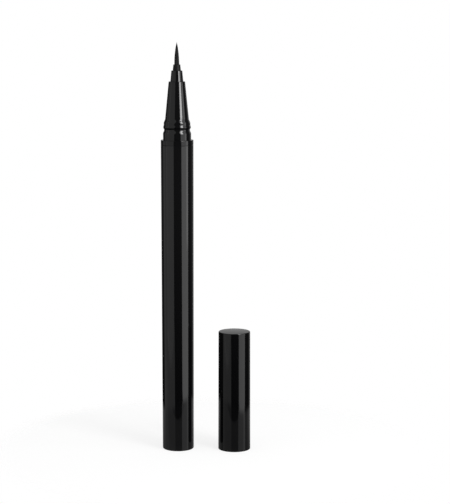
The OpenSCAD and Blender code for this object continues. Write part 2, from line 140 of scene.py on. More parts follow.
class PenSizes(bpy.types.PropertyGroup):
    """Barrel and front section of the pen."""
    mouth_radius: length("Mouth radius", "Outside radius of the barrel at its mouth", node_radius("barrel"))
    taper: length("Taper", "How much slimmer the tail is than the mouth, in radius", 0.15 * MM)
    tail_round: length("Tail edge", "Rounding of the edge at the tail", 0.35 * MM)
    mouth_round: length("Mouth edge", "Rounding of the outer edge at the mouth", 0.12 * MM)
    inner_round: length("Inner edges", "Rounding of the inner edges of mouths and bores", 0.05 * MM)
    collar_bore: length("Collar bore", "Bore of the barrel round the collar", 4.42 * MM)
    tank_bore: length("Tank bore", "Bore of the barrel round the tank", 4.30 * MM)
    line_drop: length("Line drop", "Distance of the fine line round the barrel from its mouth", 1.6 * MM)
    line_width: length("Line width", "Width of the fine line", 0.16 * MM)
    line_depth: length("Line depth", "Depth of the fine line", 0.05 * MM)
    collar_radius: length("Collar radius", "Outside radius of the collar", node_radius("front_section"))
    dome_height: length("Dome height", "Height of the collar that shows", 3.15 * MM)
    dome_round: length("Dome rounding", "Height over which the collar sweeps in", 1.2 * MM)
    groove_depth: length("Groove depth", "Depth of the snap groove below the collar", 0.35 * MM)
    groove_width: length("Groove width", "Width of the snap groove at its floor", 0.2 * MM)
    bead_stand: length("Bead", "How far the snap bead stands out of the groove", 0.28 * MM)
    crest_height: length("Crest height", "Height of the bead's crest above its foot", 0.6 * MM)
    bead_height: length("Bead height", "Height of the bead from its foot to the band", 1.45 * MM)
    band_step: length("Band step", "How much slimmer the band is than the bead", 0.17 * MM)
    band_height: length("Band height", "Height of band and shoulder, between bead and cone", 1.95 * MM)
    shoulder_step: length("Shoulder step", "How much slimmer the cone's foot is than the band", 0.46 * MM)
    shoulder_height: length("Shoulder", "Height over which the shoulder sweeps in", 1.5 * MM)
    cone_front: length("Cone front", "Radius of the nose cone at its front", 2.57 * MM)
    cone_round: length("Cone edge", "Rounding of the cone's front edge", 0.2 * MM)
    fit_gap: length("Fit gap", "Gap round pieces that are pressed together", 0.02 * MM)


class TipSizes(bpy.types.PropertyGroup):
    """Sleeve and bristle holder at the front of the pen."""
    sleeve_radius: length("Sleeve radius", "Radius of the sleeve where it leaves the cone", 2.03 * MM)
    sleeve_front: length("Sleeve front", "Radius of the sleeve at its front", 1.71 * MM)
    sleeve_round: length("Sleeve edge", "Rounding of the sleeve's front edge", 0.28 * MM)
    sleeve_lip: length("Sleeve lip", "Rounding of the sleeve's bore at its front", 0.06 * MM)
    sleeve_flange: length("Sleeve flange", "Thickness of the sleeve's flange", 1.5 * MM)
    holder_radius: length("Holder radius", "Radius of the holder where it leaves the sleeve", 1.27 * MM)
    holder_front: length("Holder front", "Radius of the holder at its front", 1.09 * MM)
    holder_round: length("Holder edge", "Rounding of the holder's front edge", 0.12 * MM)
    holder_flange: length("Holder flange", "Thickness of the holder's flange", 1.0 * MM)
    holder_lip: length("Holder lip", "Rounding of the holder's bore at its front", 0.04 * MM)
    taper_round: length("Taper rounding", "Rounding where a straight grip turns into its taper", 1.0 * MM)
    fit_gap: length("Fit gap", "Gap round pieces that are pressed together", 0.02 * MM)


class BristleSizes(bpy.types.PropertyGroup):
    """The bundle of bristles."""
    bundle_radius: length("Bundle radius", "Radius of the bundle in its holder", 0.79 * MM)
    root_drop: length("Root drop", "Depth inside the holder at which the bristles start", 0.5 * MM)
    root_flange: length("Root flange", "Height of the fused flange at the root", 0.8 * MM)
    pipe_bore: length("Pipe bore", "Radius of the bore for the feed pipe", 0.3 * MM)
    count: whole_number("Bristles", "Number of bristles", 900, least=50)
    levels: whole_number("Levels", "Rings of points along a bristle", 9, least=4)
    fill: share("Fill", "Width of a bristle as a share of its place in the bundle", 1.25)
    stagger: share("Stagger", "How much shorter the outermost bristles are", 0.2)
    point: share("Point", "What is left of the bundle's width at its very tip", 0.03)
    # The furrows' depth also sets how much painted shade their bristles get
    tufts: whole_number("Tufts", "Tufts that the outer bristles draw into", 17)
    tuft_depth: share("Tuft depth", "Depth of the furrows between tufts, as a share of the radius", 0.07)


class CapSizes(bpy.types.PropertyGroup):
    """The cap and its spring."""
    taper: length("Taper", "How much slimmer the closed end is than the mouth, in radius", 0.09 * MM)
    end_round: length("End edge", "Rounding of the edge at the closed end", 0.25 * MM)
    crown: length("Crown", "How far the middle of the closed end stands above its edge", 0.1 * MM)
    lip_round: length("Mouth edge", "Rounding of the outer edge at the mouth", 0.12 * MM)
    inner_round: length("Inner edge", "Rounding of the inner edge at the mouth", 0.06 * MM)
    end_wall: length("End wall", "Thickness of the closed end", 1.2 * MM)
    bore: length("Bore", "Radius of the bore that takes the section's collar", 4.45 * MM)
    snap_height: length("Snap height", "Height of the snap bead above the mouth", 3.25 * MM)
    snap_bead: length("Snap bead", "Radius of the snap bead", 0.3 * MM)
    guide_step: length("Guide step", "How much slimmer the bore is round the inner cap's flange", 0.2 * MM)
    keeper_height: length("Keeper height", "Height of the bead that keeps the inner cap in", 30.0 * MM)
    keeper_bead: length("Keeper bead", "Radius of that bead", 0.2 * MM)
    post_radius: length("Post radius", "Radius of the post that centres the spring", 2.2 * MM)
    post_height: length("Post height", "Height of that post", 1.4 * MM)
    wire_radius: length("Wire radius", "Radius of the spring's wire", 0.2 * MM)
    coils: whole_number("Coils", "Number of coils in the spring", 5)
    spring_limit: length("Spring limit", "Length of the spring when the inner cap is pushed in", 2.86 * MM)


class Colours(bpy.types.PropertyGroup):
    """Colours of the finishes."""
    gloss_black: colour("Gloss black", "Polished moulded shells", "#070708")
    satin_black: colour("Satin black", "Bristle holder", "#0e0e0f")
    # The bristles' colour runs between these two: at random, and towards the dark one in the furrows between
    # tufts as painted shade; the pale one is only the paler end of the random tone
    bristle_dark: colour("Bristle, dark", "Bristles in the furrows", "#0e0e0f")
    bristle_pale: colour("Bristle, pale", "Bristles that catch the light", "#232325")
    natural: colour("Natural plastic", "Undyed polypropylene", "#e4e1d6")
    fibre: colour("Fibre", "Bonded fibre of the wick", "#ece8dc")
    steel: colour("Steel", "Polished stainless steel", "#c9c9cb")


class StageSizes(bpy.types.PropertyGroup):
    """Camera, floor and mirrored room."""
    camera_side: length("Camera, side", "How far right of the pen's axis the camera stands", 12.71 * MM)
    camera_back: length("Camera, distance", "How far before the pen's axis the camera stands", 527.5 * MM)
    camera_height: length("Camera, height", "Height of the camera above the floor", 140.5 * MM)
    camera_pitch: angle("Camera, pitch", "How far the camera looks down", 8.291)
    camera_turn: angle("Camera, turn", "How far the camera is turned to the right", 0.2515)
    lens: bpy.props.FloatProperty(name="Lens", description="Focal length for a 36 mm sensor", default=120.2)
    floor_radius: length("Floor radius", "Radius of the floor that shows and mirrors", 74 * MM)
    floor_fade: length("Floor fade", "Width over which the floor fades into the background", 14 * MM)
    floor_drop: length("Floor drop", "Gap that keeps the floor's face apart from those on it", 0.01 * MM)
    floor_glow: share("Floor glow", "The floor's own brightness to the camera", 0.8)
    floor_lit: share("Floor, lit", "How much of the lamps' light the floor sends back", 0.22)
    floor_near: share("Floor, near", "Level of the floor before the object, as gloss mirrors it", 0.1)
    floor_front: length("Floor, front", "How far before the object the mirrored floor begins", 44 * MM)
    floor_soft: length("Floor, soft", "Width of the mirrored floor's soft front edge", 4 * MM)
    floor_even: length("Floor, even", "How far before the object the mirrored level starts to rise", 12 * MM)
    floor_far: share("Floor, far", "Level of the floor behind the object, as gloss mirrors it", 0.3)
    room_light: share("Room light", "Level of the even light on matt surfaces", 0.45)
    room_low: share("Room, low", "Level of the dim room below eye level, as gloss mirrors it", 0.01)
    room_high: share("Room, high", "Level of the dim room above that, as gloss mirrors it", 0.065)
    backdrop: share("Backdrop", "Level of the backdrop behind the object, as gloss mirrors it", 0.53)
    backdrop_foot: share("Backdrop, foot", "What is left of that level at the backdrop's foot", 0.45)
    backdrop_high: share("Backdrop, high", "What is left of that level high up", 0.2)


class LinerPen(bpy.types.PropertyGroup):
    """Everything that a user may change."""
    pen: bpy.props.PointerProperty(type=PenSizes, name="Pen", description="Barrel and front section")
    tip: bpy.props.PointerProperty(type=TipSizes, name="Tip", description="Sleeve and holder")
    bristles: bpy.props.PointerProperty(type=BristleSizes, name="Bristles", description="Bristles")
    cap: bpy.props.PointerProperty(type=CapSizes, name="Cap", description="Cap and spring")
    colours: bpy.props.PointerProperty(type=Colours, name="Colours", description="Colours")
    stage: bpy.props.PointerProperty(type=StageSizes, name="Stage", description="Camera, floor and room")


# Outlines: points are [radius, height, fillet], and a corner with a fillet becomes an arc

def arc(centre, radii, first, last, steps=ARC_STEPS):
    """Points of an elliptical arc without fillets: centre + radii * (cos, sin), first and last in degrees."""
    turn = np.radians(np.linspace(first, last, steps + 1))
    points = np.array(centre) + np.column_stack([np.cos(turn), np.sin(turn)]) * np.array(radii)
    return np.column_stack([points, np.zeros(steps + 1)]).tolist()


def fine_line(radius, height, width, depth):
    """Points of a fine V-shaped line round a wall."""
    return [[radius, height - width / 2, 0], [radius - depth, height, 0], [radius, height + width / 2, 0]]


def sweep(first, last, steps=2 * ARC_STEPS):
    """Points of half a cosine wave from one [radius, height] to another.

    At share s of the height, r = r0 + (r1 - r0) (1 - cos(pi s)) / 2 and z = z0 + (z1 - z0) s.
    """
    s = np.linspace(0, 1, steps + 1)
    radius = first[0] + (last[0] - first[0]) * (1 - np.cos(math.pi * s)) / 2
    height = first[1] + (last[1] - first[1]) * s
    return np.column_stack([radius, height, 0 * s]).tolist()


def rounded(corners):
    """The closed outline with its fillets drawn.

    A fillet of radius f in a corner of half angle h touches both sides f / tan(h) from the corner.
    Its arc turns by a = 180 - 2h degrees, and the direction at share s of it is
    (sin((1 - s) a) * first + sin(s a) * last) / sin(a). A point just beyond each end of the arc
    keeps the shading of the long side flat.
    """
    corners = np.array(corners, float)
    outline = []
    for before, corner, after in zip(np.roll(corners, 1, 0), corners, np.roll(corners, -1, 0)):
        here, fillet = corner[:2], corner[2]
        if fillet == 0:
            outline.append(here[None])
            continue
        back = before[:2] - here
        ahead = after[:2] - here
        room = min(np.linalg.norm(back), np.linalg.norm(ahead))
        back /= np.linalg.norm(back)
        ahead /= np.linalg.norm(ahead)
        half = math.acos(np.clip(back @ ahead, -1, 1)) / 2
        reach = min(fillet / math.tan(half), ARC_ROOM * room)
        radius = reach * math.tan(half)
        middle = here + (back + ahead) / np.linalg.norm(back + ahead) * radius / math.sin(half)
        first = here + back * reach - middle
        last = here + ahead * reach - middle
        bend = math.pi - 2 * half
        steps = max(2, round(ARC_STEPS * bend / (math.pi / 2)))
        s = np.linspace(0, 1, steps + 1)[:, None]
        curve = middle + (np.sin((1 - s) * bend) * first + np.sin(s * bend) * last) / math.sin(bend)
        hold = min(reach + HOLD_REACH * fillet, HOLD_ROOM * room)
        outline.append(np.vstack([here + back * hold, curve, here + ahead * hold]))
    return np.vstack(outline)


# Meshes: each function returns an array of points and a list of faces

def turned(corners, axis=(0, 0), sides=SIDES):
    """A solid turned round an upright axis from a closed outline, anticlockwise in radius and height.

    Point (u, v) is (axis.x + r(v) cos u, axis.y + r(v) sin u, z(v)). Where r is 0 the ring is one point,
    and the faces beside it are triangles.
    """
    radius, height = rounded(corners).T[:, :, None]
    turn = np.linspace(0, 2 * math.pi, sides, endpoint=False)
    grid = np.stack(np.broadcast_arrays(
        axis[0] + radius * np.cos(turn), axis[1] + radius * np.sin(turn), height), -1)
    pole = radius[:, 0] == 0
    count = np.where(pole, 1, sides)[:, None]
    number = np.cumsum(count)[:, None] - count + np.arange(sides) % count
    after = np.roll(number, -1, 1)
    quads = np.stack([number, after, np.roll(after, -1, 0), np.roll(number, -1, 0)], -1)
    to_pole = np.roll(pole, -1)
    faces = quads[~pole & ~to_pole].reshape(-1, 4).tolist()
    faces += quads[pole & ~to_pole][..., [0, 2, 3]].reshape(-1, 3).tolist()
    faces += quads[to_pole & ~pole][..., [0, 1, 2]].reshape(-1, 3).tolist()
    return grid[np.arange(sides) < count], faces


def tubes(centres, radii, sides):
    """Closed tubes, one for each row of centres, each drawn to a point at its end.

    Row i holds the centres of the rings of tube i, and radii their radii. Ring point k lies at
    centre + radius * (cos(2 pi k / sides), sin(2 pi k / sides), 0), and the last ring is its centre alone.
    """
    count, levels = radii.shape
    turn = np.arange(sides) * 2 * math.pi / sides
    round_it = np.column_stack([np.cos(turn), np.sin(turn), np.zeros(sides)])
    walls = centres[:, :-1, None] + radii[:, :-1, None, None] * round_it
    points = np.concatenate([walls.reshape(count, -1, 3), centres[:, -1:]], axis=1)
    start = np.arange(count)[:, None, None] * points.shape[1]
    ring = np.arange(levels - 2)[None, :, None] * sides
    k = np.arange(sides)[None, None]
    after = (k + 1) % sides
    low = start + ring
    quads = np.stack(np.broadcast_arrays(low + k, low + after, low + sides + after, low + sides + k), -1)
    last = start + (levels - 2) * sides
    tips = np.stack(np.broadcast_arrays(last + k, last + after, start + points.shape[1] - 1), -1)
    feet = start[:, 0] + np.arange(sides)[::-1]
    faces = quads.reshape(-1, 4).tolist() + tips.reshape(-1, 3).tolist() + feet.tolist()
    return points.reshape(-1, 3), faces


def helix(axis, radius, low, high, coils, wire, rings_per_coil=48, sides=16):
    """A coil of round wire, closed at both ends.

    Its centreline is (axis + radius * (cos t, sin t), low + wire + rise * t / 2 pi), and the wire's section
    at t is that point + wire * (cos s * outwards + sin s * up).
    """
    t = np.linspace(0, 2 * math.pi * coils, coils * rings_per_coil + 1)[:, None]
    s = np.linspace(0, 2 * math.pi, sides, endpoint=False)[None]
    rise = (high - low - 2 * wire) / (2 * math.pi * coils)
    reach = radius + wire * np.cos(s)
    points = np.stack([axis[0] + reach * np.cos(t), axis[1] + reach * np.sin(t),
                       low + wire + rise * t + wire * np.sin(s)], -1)
    i = np.arange(len(t) - 1)[:, None] * sides
    k = np.arange(sides)[None]
    after = (k + 1) % sides
    quads = np.stack([i + k, i + sides + k, i + sides + after, i + after], -1)
    ends = [list(range(sides)), [(len(t) - 1) * sides + n for n in reversed(range(sides))]]
    return points.reshape(-1, 3), quads.reshape(-1, 4).tolist() + ends


def joined(*parts):
    """Several (points, faces) pairs as one."""
    points = np.vstack([part[0] for part in parts])
    faces = []
    first = 0
    for part_points, part_faces in parts:
        faces += [[first + n for n in face] for face in part_faces]
        first += len(part_points)
    return points, faces


# Objects

def add_piece(name, shape, material, body, node):
    """Makes the object of a piece, which stands for a CAD node that it hides, and rides on its body."""
    points, faces = shape
    mesh = bpy.data.meshes.new(name)
    mesh.from_pydata(points.tolist(), [], faces)
    mesh.validate()
    mesh.shade_smooth()
    mesh.set_sharp_from_angle(angle=CREASE)
    mesh.materials.append(material)
    piece = bpy.data.objects.new(name, mesh)
    bpy.context.scene.collection.objects.link(piece)
    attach(piece, body)
    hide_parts(node)
    return piece


# Finishes

def add_node(tree, kind, inputs=None, **settings):
    """Adds a node with its settings. Its inputs are given as values, or as sockets to link from."""
    node = tree.nodes.new("ShaderNode" + kind)
    for name, value in settings.items():
        setattr(node, name, value)
    for name, value in (inputs or {}).items():
        if isinstance(value, bpy.types.NodeSocket):
            tree.links.new(value, node.inputs[name])
        else:
            node.inputs[name].default_value = value
    return node


def new_finish(name):
    """An empty material: its tree, the place of a point in the piece's own coordinates, and the material."""
    material = bpy.data.materials.new(name)
    material.use_nodes = True
    material.node_tree.nodes.clear()
    place = add_node(material.node_tree, "TexCoord").outputs["Object"]
    return material.node_tree, place, material


def noise(tree, place, size, detail, roughness=0.5):
    """A level between 0 and 1 that varies at random, in blots of about the given size."""
    return add_node(tree, "TexNoise", {
        "Vector": place, "Scale": 1 / size, "Detail": detail, "Roughness": roughness}).outputs["Fac"]


def streaks(tree, place, across, along, detail):
    """The same in streaks along the pen's axis, of about the given width and length."""
    drawn_out = add_node(tree, "Mapping", {"Vector": place, "Scale": (1 / across, 1 / across, 1 / along)})
    return noise(tree, drawn_out.outputs["Vector"], 1, detail)


def remap(tree, value, reach, levels=(0, 1), smooth=False):
    """A level that goes from the first to the second while the value goes through its reach, and stays there
    beyond it."""
    return add_node(tree, "MapRange", {
        "Value": value, "From Min": reach[0], "From Max": reach[1], "To Min": levels[0], "To Max": levels[1],
    }, interpolation_type="SMOOTHSTEP" if smooth else "LINEAR").outputs["Result"]


def combine(tree, operation, first, second):
    """Two values put together by a Math node."""
    return add_node(tree, "Math", {0: first, 1: second}, operation=operation).outputs["Value"]


def mix(tree, part, first, second, data_type="FLOAT"):
    """A blend that is the first value at part 0 and the second at part 1."""
    return add_node(tree, "Mix", {"Factor": part, "A": first, "B": second},
                    data_type=data_type).outputs["Result"]


def bump(tree, level, height, strength=1):
    """The normal of a surface that the level raises by up to the height."""
    return add_node(tree, "Bump", {
        "Height": level, "Strength": strength, "Distance": height}).outputs["Normal"]


def finish_surface(tree, inputs):
    """Closes a material's tree with a Principled shader."""
    shader = add_node(tree, "BsdfPrincipled", inputs)
    add_node(tree, "OutputMaterial", {"Surface": shader.outputs["BSDF"]})


def gloss_black(name, rgb, ior):
    """ABS moulded in a polished tool: hard black gloss that mirrors the lamps with nearly straight edges.
    Under clear lacquer, with its higher index, it mirrors a little more. The skin waves by a micrometre or
    so, and fine lengthwise handling scuffs dull it in patches."""
    tree, place, material = new_finish(name)
    wave_size = 2.4 * MM
    wave_height = 0.0012 * MM
    scuff_width = 0.12 * MM
    scuff_length = 5 * MM
    patch_size = 14 * MM
    least_worn = 0.15
    most_worn = 0.5
    polished = 0.045
    scuffed = 0.11
    waves = noise(tree, place, wave_size, detail=1, roughness=0.4)
    scuffs = streaks(tree, place, scuff_width, scuff_length, detail=3)
    patches = noise(tree, place, patch_size, detail=2)
    worn = combine(tree, "MULTIPLY", scuffs, patches)
    finish_surface(tree, {
        "Base Color": (*rgb, 1), "IOR": ior,
        "Roughness": remap(tree, worn, (least_worn, most_worn), (polished, scuffed)),
        "Normal": bump(tree, waves, wave_height)})
    return material


def satin_abs(rgb):
    """ABS moulded in a sparked tool: a dull black whose grain spreads the highlights wide."""
    tree, place, material = new_finish("satin_abs")
    grain_size = 0.05 * MM
    grain_height = 0.002 * MM
    finest = 0.45
    dullest = 0.6
    grain = noise(tree, place, grain_size, detail=2)
    finish_surface(tree, {
        "Base Color": (*rgb, 1), "IOR": 1.5, "Specular IOR Level": 0.22,
        "Roughness": remap(tree, grain, (0, 1), (finest, dullest)),
        "Normal": bump(tree, grain, grain_height, strength=0.6)})
    return material


def polyester_bristle(dark, pale):
    """Tapered polyester bristles, dyed black: matt charcoal, each a little paler or darker than the next at
    random, and darker in the furrows between tufts as painted shade, with the dye's thin cloudiness along
    them."""
    tree, place, material = new_finish("polyester_bristle")
    cloud_width = 0.05 * MM
    cloud_length = 1.2 * MM
    darkest = 0.3
    palest = 1.4
    clouds = streaks(tree, place, cloud_width, cloud_length, detail=2)
    # Each bristle's tone, with painted shade in the furrows, read from its points
    strand = add_node(tree, "Attribute", attribute_name="strand_tone_and_painted_shade").outputs["Fac"]
    both = combine(tree, "ADD", strand, clouds)
    shade = mix(tree, remap(tree, both, (darkest, palest)), (*dark, 1), (*pale, 1), "RGBA")
    finish_surface(tree, {"Base Color": shade, "Roughness": 0.62, "IOR": 1.5, "Specular IOR Level": 0.3})
    return material


def natural_polypropylene(rgb):
    """Undyed moulded polypropylene: milky and slightly waxy, as light goes a little way in."""
    tree, place, material = new_finish("natural_polypropylene")
    flow_size = 3 * MM
    depth = 0.4 * MM
    finest = 0.3
    dullest = 0.45
    paler = tuple(min(1, 1.06 * c) for c in rgb)
    flow = noise(tree, place, flow_size, detail=3)
    finish_surface(tree, {
        "Base Color": mix(tree, flow, (*rgb, 1), (*paler, 1), "RGBA"), "IOR": 1.49,
        "Roughness": remap(tree, flow, (0, 1), (finest, dullest)),
        "Subsurface Weight": 0.25, "Subsurface Radius": (depth, depth, depth)})
    return material


def bonded_fibre(rgb):
    """Polyester fibres bonded into a rod: matt off-white with fine lengthwise fibres."""
    tree, place, material = new_finish("bonded_fibre")
    fibre_width = 0.04 * MM
    fibre_length = 2 * MM
    fibre_height = 0.015 * MM
    darker = tuple(0.8 * c for c in rgb)
    fibres = streaks(tree, place, fibre_width, fibre_length, detail=2)
    finish_surface(tree, {
        "Base Color": mix(tree, fibres, (*darker, 1), (*rgb, 1), "RGBA"), "Roughness": 0.85, "IOR": 1.45,
        "Normal": bump(tree, fibres, fibre_height, strength=0.7)})
    return material


def polished_steel(name, rgb, grain_size, finest, dullest):
    """Stainless steel, dulled in spots by its grain: nearly a mirror on the ball, and duller on the wire."""
    tree, place, material = new_finish(name)
    grain = noise(tree, place, grain_size, detail=3)
    finish_surface(tree, {"Base Color": (*rgb, 1), "Metallic": 1.0,
                          "Roughness": remap(tree, grain, (0, 1), (finest, dullest))})
    return material


def finish(name):
    """The material of that name, made when it is first asked for."""
    if name in bpy.data.materials:
        return bpy.data.materials[name]
    colours = bpy.context.scene.liner_pen.colours
    makers = {
        "polished_abs": lambda: gloss_black(name, colours.gloss_black, ior=1.5),
        "lacquered_abs": lambda: gloss_black(name, colours.gloss_black, ior=1.57),
        "satin_abs": lambda: satin_abs(colours.satin_black),
        "polyester_bristle": lambda: polyester_bristle(colours.bristle_dark, colours.bristle_pale),
        "natural_polypropylene": lambda: natural_polypropylene(colours.natural),
        "bonded_fibre": lambda: bonded_fibre(colours.fibre),
        "tumbled_steel": lambda: polished_steel(name, colours.steel, 0.6 * MM, finest=0.05, dullest=0.12),
        "spring_steel": lambda: polished_steel(name, colours.steel, 0.15 * MM, finest=0.2, dullest=0.34),
    }
    return makers[name]()


# The pieces

def barrel_shape(pen):
    """The barrel's wall: a straight taper with rounded ends and one fine line below the mouth."""
    end = top("barrel")
    line = end - pen.line_drop
    at_line = pen.mouth_radius - pen.taper * pen.line_drop / end
    return turned([
        [pen.tank_bore, 0, pen.inner_round],
        [pen.mouth_radius - pen.taper, 0, pen.tail_round],
        *fine_line(at_line, line, pen.line_width, pen.line_depth),
        [pen.mouth_radius, end, pen.mouth_round],
        [pen.collar_bore, end, pen.inner_round],
        [pen.collar_bore, top("ink_tank"), 0],
        [pen.tank_bore, top("ink_tank"), 0],
    ])


def section_shape(pen, tip):
    """Collar, groove, bead, band, shoulder and cone.

    The collar, the bead and the band each sweep in as half a cosine wave, and the bead's underside is a
    quarter of a sine wave, r = groove + stand sin(pi s / 2).
    """
    groove = pen.collar_radius - pen.groove_depth
    bead = groove + pen.bead_stand
    band = bead - pen.band_step
    cone_foot = band - pen.shoulder_step
    z_dome = top("barrel") + pen.dome_height
    z_bead = z_dome + pen.groove_width
    z_crest = z_bead + pen.crest_height
    z_band = z_bead + pen.bead_height
    z_cone = z_band + pen.band_height
    z_spigot = bottom("front_section")
    z_collar = top("ink_tank")
    z_seat = bottom("tip_sleeve")
    front = top("front_section")
    bore = node_radius("tip_sleeve") + pen.fit_gap
    spigot = node_radius("collector")
    lip = tip.sleeve_radius + pen.fit_gap
    s = np.linspace(0, 1, ARC_STEPS, endpoint=False)
    underside = np.column_stack([
        groove + pen.bead_stand * np.sin(math.pi / 2 * s), z_bead + pen.crest_height * s, 0 * s])
    return turned([
        [bore, z_spigot, 0],
        [spigot, z_spigot, 0],
        [spigot, z_collar, 0],
        [pen.collar_radius, z_collar, 0],
        *sweep([pen.collar_radius, z_dome - pen.dome_round], [groove, z_dome]),
        *underside.tolist(),
        *sweep([bead, z_crest], [band, z_band]),
        *sweep([band, z_cone - pen.shoulder_height], [cone_foot, z_cone])[:-1],
        [cone_foot, z_cone, pen.cone_round],
        [pen.cone_front, front, pen.cone_round],
        [lip, front, pen.inner_round],
        [lip, z_seat, 0],
        [bore, z_seat, 0],
    ])


def sleeve_shape(tip):
    """The sleeve: a flange in the section, a straight grip, and a tapering front with a rounded edge."""
    z_back = bottom("tip_sleeve")
    z_seat = z_back + tip.sleeve_flange
    z_holder_seat = bottom("brush_holder") + tip.holder_flange
    flange_bore = node_radius("brush_holder") + tip.fit_gap
    bore = tip.holder_radius + tip.fit_gap
    return turned([
        [flange_bore, z_back, 0],
        [node_radius("tip_sleeve"), z_back, 0],
        [node_radius("tip_sleeve"), z_seat, 0],
        [tip.sleeve_radius, z_seat, 0],
        [tip.sleeve_radius, top("front_section"), tip.taper_round],
        [tip.sleeve_front, top("tip_sleeve"), tip.sleeve_round],
        [bore, top("tip_sleeve"), tip.sleeve_lip],
        [bore, z_holder_seat, 0],
        [flange_bore, z_holder_seat, 0],
    ])


def holder_shape(tip, bristles):
    """The bristle holder: a flange in the sleeve, a straight grip, and a tapering front."""
    z_back = bottom("brush_holder")
    z_seat = z_back + tip.holder_flange
    z_root = z_seat + bristles.root_flange
    root_bore = node_radius("brush") + tip.fit_gap
    bore = bristles.bundle_radius + tip.fit_gap
    return turned([
        [root_bore, z_back, 0],
        [node_radius("brush_holder"), z_back, 0],
        [node_radius("brush_holder"), z_seat, 0],
        [tip.holder_radius, z_seat, 0],
        [tip.holder_radius, top("tip_sleeve"), tip.taper_round],
        [tip.holder_front, top("brush_holder"), tip.holder_round],
        [bore, top("brush_holder"), tip.holder_lip],
        [bore, z_root, 0],
        [root_bore, z_root, 0],
    ])


def root_shape(bristles, z_root):
    """The fused root of the bristles: a tube round the feed pipe, with a flange at its foot."""
    z_foot = bottom("brush")
    return turned([
        [bristles.pipe_bore, z_foot, 0],
        [node_radius("brush"), z_foot, 0],
        [node_radius("brush"), z_foot + bristles.root_flange, 0],
        [bristles.bundle_radius, z_foot + bristles.root_flange, 0],
        [bristles.bundle_radius, z_root, 0],
        [bristles.pipe_bore, z_root, 0],
    ], sides=SIDES // 4)


def bristle_shapes(bristles, seed=7):
    """All bristles as closed tapering tubes, and for each a tone between 0 and 1, random and made darker in
    the furrows as painted shade.

    Bristle i of n stands at radius R sqrt(i / n) and at i golden angles, as seeds in a sunflower. At share t
    of the free length the bundle keeps 1 - (1 - point) t^2 of its width. Its outside is furrowed into tufts:
    a radius r is drawn in by the share depth (r / R)^3 sin(pi t) sin^2(tufts * angle / 2 + sway * t), which
    is deepest half way up.
    """
    # Least share of the stagger, and the turn of the furrows over the length, in radians
    least_stagger = 0.55
    sway = 1.3
    # How far bristles stray, in spacings, and how much of its thickness one loses up to its tip
    stray_share = 0.35
    thinning = 0.75
    # The middle tone, how widely the tones scatter round it at random, and how much painted shade a furrow
    # adds
    middle_shade = 0.5
    shade_spread = 0.28
    furrow_painted_shade = 1.5
    random = np.random.default_rng(seed)
    count = bristles.count
    z_root = top("brush_holder") - bristles.root_drop
    free_length = top("brush") - z_root
    out = np.sqrt((np.arange(count) + 0.5) / count)
    around = np.arange(count) * GOLDEN_ANGLE
    reach = 1 - bristles.stagger * out ** 2 * random.uniform(least_stagger, 1, count)
    reach[0] = 1
    t = np.linspace(0, 1, bristles.levels)[None] * reach[:, None]
    width = 1 - (1 - bristles.point) * t ** 2
    furrow = np.sin(bristles.tufts * around[:, None] / 2 + sway * t) ** 2
    drawn_in = bristles.tuft_depth * out[:, None] ** 3 * np.sin(math.pi * t) * furrow
    spacing = bristles.bundle_radius * math.sqrt(math.pi / count)
    thick = bristles.fill * spacing / 2
    radial = (bristles.bundle_radius - thick) * out[:, None] * width * (1 - drawn_in)
    stray = random.normal(0, stray_share * spacing, (count, 2, 1)) * np.sin(math.pi * t)[:, None]
    x = radial * np.cos(around)[:, None] + stray[:, 0]
    y = radial * np.sin(around)[:, None] + stray[:, 1]
    centres = np.stack([x, y, z_root + free_length * t], -1)
    taper = np.sqrt(width) * (1 - thinning * (t / reach[:, None]) ** 4)
    scatter = shade_spread * random.standard_normal(count)
    # Bristles in the furrows between tufts are made darker: painted shade on top of their random tone
    tones_and_painted_shade = np.clip(middle_shade + scatter - furrow_painted_shade * drawn_in.max(1), 0, 1)
    return tubes(centres, thick * taper, sides=4), tones_and_painted_shade


def cap_shape(cap):
    """The cap: a slightly tapering shell with a crowned closed end, and a post and two beads inside."""
    mouth = node_radius("cap_shell")
    end = top("cap_shell")
    ceiling = end - cap.end_wall
    guide = cap.bore - cap.guide_step
    z_guide = cap.keeper_height - cap.keeper_bead - cap.guide_step
    out = np.linspace(1, 0, ARC_STEPS + 1)[1:]
    crown = np.column_stack([(mouth - cap.taper - cap.end_round) * out, end - cap.crown * out ** 2, 0 * out])
    return turned([
        [cap.bore, 0, cap.inner_round],
        [mouth, 0, cap.lip_round],
        [mouth - cap.taper, end - cap.crown, cap.end_round],
        *crown.tolist(),
        [0, ceiling - cap.post_height, 0],
        [cap.post_radius, ceiling - cap.post_height, cap.inner_round],
        [cap.post_radius, ceiling, 0],
        [guide, ceiling, 0],
        *arc([guide, cap.keeper_height], [cap.keeper_bead, cap.keeper_bead], 90, 270),
        [cap.bore, z_guide, 0],
        *arc([cap.bore, cap.snap_height], [cap.snap_bead, cap.snap_bead], 90, 270),
    ], axis=node_axis("cap_shell"))


# Operators: one for each piece or group of like pieces, and one for the stage

class AddBarrel(bpy.types.Operator):
    """Add the barrel, which is lacquered up to the fine line below its mouth."""
    bl_idname = "liner_pen.add_barrel"
    bl_label = "Barrel"

    def execute(self, context):
        sizes = context.scene.liner_pen.pen
        shape = barrel_shape(sizes)
        tube = add_piece("barrel_tube", shape, finish("polished_abs"), "pen", "barrel")
        tube.data.materials.append(finish("lacquered_abs"))
        centres = np.empty(3 * len(tube.data.polygons))
        tube.data.polygons.foreach_get("center", centres)
        below_line = centres[2::3] < top("barrel") - sizes.line_drop
        tube.data.polygons.foreach_set("material_index", below_line.astype(np.int32))
        return {"FINISHED"}


